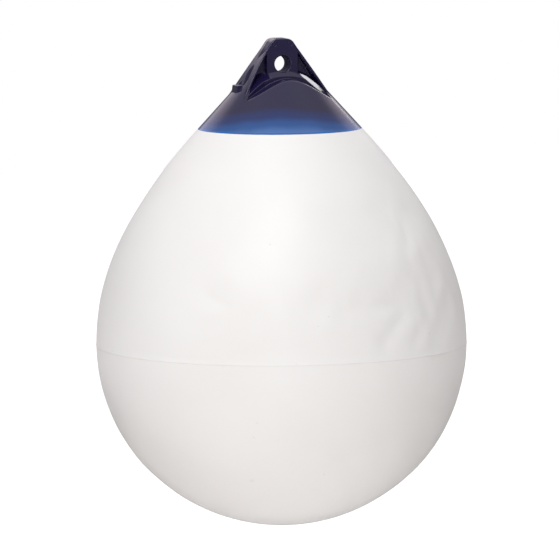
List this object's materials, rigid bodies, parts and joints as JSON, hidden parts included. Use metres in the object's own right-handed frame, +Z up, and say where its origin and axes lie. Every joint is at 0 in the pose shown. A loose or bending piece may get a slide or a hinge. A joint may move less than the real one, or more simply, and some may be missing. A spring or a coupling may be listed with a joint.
{
  "type": "ball fender",
  "caption": "Inflatable teardrop ball fender of soft vinyl, with a moulded rope hold, a thick lug with a rope eye, and a screw valve in a small boss beside it.",
  "frame": {"origin": "centre of the rope eye's bore", "axes": "+Z up along the fender's own axis, from the belly to the lug's crown; +Y along the eye's bore; the lug's legs spread along X, and the inflation valve is on the -X side"},
  "size_m": [0.6934, 0.6934, 0.9109],
  "materials": {
    "vinyl_white": "satin",
    "vinyl_blue": "gloss",
    "valve_plastic": "satin",
    "valve_rubber": "matte"
  },
  "bodies": {
    "root": {"body": "vinyl_white", "ropehold": "vinyl_blue", "valve_seat": "valve_plastic", "valve_seal": "valve_rubber", "valve_plug": "valve_plastic"}
  },
  "joints": []
}
